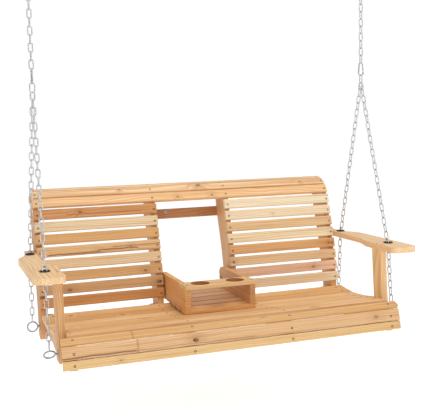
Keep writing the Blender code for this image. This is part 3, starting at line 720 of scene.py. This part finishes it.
def make_snaps(material):
    reach = (CARABINER_LENGTH - ROD_CARABINER) / 2
    for side, sign in (("left", -1), ("right", 1)):
        centre = world(sign * CHAIN_X, HANG_Y, bow_z(sign) + reach)
        u_way = Vector((1, 0, 0)) if sign > 0 else Vector((0, 1, 0))
        up = Vector((0, 0, 1))
        flat = [(0.0092, 0.0150)] + arc(0, reach - 0.0085, 0.0085, 0, 180, 14)
        flat += arc(0, 0.0125 - reach, 0.0125, 180, 360, 16) + [(0.0121, -0.0140)]
        build = bmesh.new()
        sweep(build, [centre + u_way * u + up * v for u, v in flat], ROD_CARABINER / 2, 14, False,
              up.cross(u_way))
        mesh = smooth(to_mesh(build, f"snap_{side}"), 50)
        item = add(f"snap_{side}", mesh, "hanger", material)
        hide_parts(f"carabiner_{side}")
        gate = bmesh.new()
        ends = [centre + u_way * u + up * v for u, v in ((0.0120, -0.0125), (0.0093, 0.0135))]
        sweep(gate, ends, 0.0026, 14, False, up.cross(u_way))
        item = add(f"snap_gate_{side}", smooth(to_mesh(gate, f"snap_gate_{side}"), 50), f"gate_{side}",
                   material)
        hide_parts(f"carabiner_gate_{side}")


def make_magnet(material):
    """A round catch on the front of the rear rail, which holds the console up."""
    normal, centre = show_face("rear_rail")
    build = bmesh.new()
    spot = Vector((-0.0927, centre.y, centre.z))
    disc(build, spot, normal, 0.0085, 0.0008, 28, 0.0003)
    add("rail_catch", smooth(to_mesh(build, "rail_catch")), "bench", material)


def finish_nodes(steel, plastic):
    """Better surfaces for the solids that keep their own shape."""
    for name, node in frame["nodes"].items():
        kept = name.startswith(("ceiling_hook", "console_pivot_bolt"))
        material = steel if kept else plastic if name.startswith("chain_grommet") else None
        if material:
            node.data.materials.clear()
            node.data.materials.append(material)


def make_grommets(plastic):
    """A rounded black collar in each hole of the armrests."""
    profile = [(0.0140, -0.0255), (0.0166, -0.0255), (0.0166, 0.0004), (0.0200, 0.0004), (0.0210, 0.0012),
               (0.0210, 0.0026), (0.0203, 0.0042), (0.0188, 0.0053), (0.0168, 0.0055), (0.0150, 0.0050),
               (0.0142, 0.0038), (0.0140, 0.0020)]
    for side, sign in (("left", -1), ("right", 1)):
        for where, y in (("front", GROMMET_FRONT_Y), ("rear", GROMMET_REAR_Y)):
            build = bmesh.new()
            centre = world(sign * GROMMET_X, y, ARM_TOP_Z)
            rings = []
            for a in (2 * math.pi * k / 40 for k in range(40)):
                out = Vector((math.cos(a), math.sin(a), 0))
                rings.append([build.verts.new(centre + out * r + Vector((0, 0, h))) for r, h in profile])
            for ring, after in zip(rings, rings[1:] + rings[:1]):
                for i in range(len(profile)):
                    j = (i + 1) % len(profile)
                    build.faces.new((ring[i], ring[j], after[j], after[i]))
            name = f"grommet_{where}_{side}"
            item = add(name, smooth(to_mesh(build, name), 50), "bench", plastic)
            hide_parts(f"chain_grommet_{where}_{side}")


# ---------------------------------------------------------------- studio

def make_camera():
    yaw, pitch, roll = (math.radians(v) for v in (20.3927, 6.0539, -1.1339))
    ahead = Vector((math.sin(yaw) * math.cos(pitch), math.cos(yaw) * math.cos(pitch), -math.sin(pitch)))
    right = Vector((math.cos(yaw), -math.sin(yaw), 0))
    up = right.cross(ahead)
    right_rolled = right * math.cos(roll) + up * math.sin(roll)
    up_rolled = up * math.cos(roll) - right * math.sin(roll)
    camera = bpy.data.objects.new("camera", bpy.data.cameras.new("camera"))
    bpy.context.scene.collection.objects.link(camera)
    turn = Matrix((right_rolled, up_rolled, -ahead)).transposed().to_4x4()
    camera.matrix_world = Matrix.Translation(world(-1.20810, -2.92599, 0.93354)) @ turn
    camera.data.sensor_width = 36.0
    camera.data.lens = 66.25
    bpy.context.scene.camera = camera


def lamp(name, place, target, size, power):
    light = bpy.data.lights.new(name, "AREA")
    light.shape = "RECTANGLE"
    light.size, light.size_y = size
    light.energy = power
    item = bpy.data.objects.new(name, light)
    bpy.context.scene.collection.objects.link(item)
    item.location = place
    item.rotation_euler = (Vector(target) - Vector(place)).to_track_quat("-Z", "Y").to_euler()


def make_studio():
    build = bmesh.new()
    bmesh.ops.create_grid(build, x_segments=1, y_segments=1, size=14.0)
    mesh = bpy.data.meshes.new("studio_floor")
    build.to_mesh(mesh)
    build.free()
    floor = bpy.data.objects.new("studio_floor", mesh)
    bpy.context.scene.collection.objects.link(floor)
    floor.location.z = -CEILING_Z - FLOOR_DROP
    tree = Tree("studio_floor")
    tree.shader.inputs["Emission Color"].default_value = (1, 1, 1, 1)
    tree.shader.inputs["Emission Strength"].default_value = FLOOR_GLOW
    mesh.materials.append(tree.surface(colour("cccccc"), 0.9))
    sky = bpy.data.worlds.new("studio")
    sky.use_nodes = True
    sky.node_tree.nodes["Background"].inputs["Color"].default_value = (1, 1, 1, 1)
    seen = sky.node_tree.nodes.new("ShaderNodeLightPath").outputs["Is Camera Ray"]
    level = sky.node_tree.nodes.new("ShaderNodeMapRange")
    level.inputs["To Min"].default_value = AMBIENT
    sky.node_tree.links.new(seen, level.inputs["Value"])
    sky.node_tree.links.new(level.outputs["Result"], sky.node_tree.nodes["Background"].inputs["Strength"])
    bpy.context.scene.world = sky
    bpy.context.scene.view_settings.view_transform = "Standard"
    target = (0, 0, -1.3)
    lamp("key", (-2.6, -3.4, 1.2), target, (2.2, 2.2), 42)
    lamp("fill", (3.4, -2.6, 0.4), target, (2.2, 2.2), 36)
    lamp("top", (0.2, -0.4, 2.6), target, (3.0, 2.0), 62)


make_camera()
make_studio()
make_back()
make_deck()
make_front()
make_frame()
make_console()
chain_steel = zinc("chain_zinc", "d8dadd", 0.26)
fitting_steel = zinc("fitting_zinc", "b4b4b4", 0.28)
snap_steel = zinc("snap_zinc", "c2c3c5", 0.18)
grommet_black = black_plastic("grommet_black")
make_chains(chain_steel)
make_eye_bolts(fitting_steel)
make_snaps(snap_steel)
make_grommets(grommet_black)
make_magnet(snap_steel)
make_screws(screw_paint("screw_paint"))
finish_nodes(fitting_steel, grommet_black)
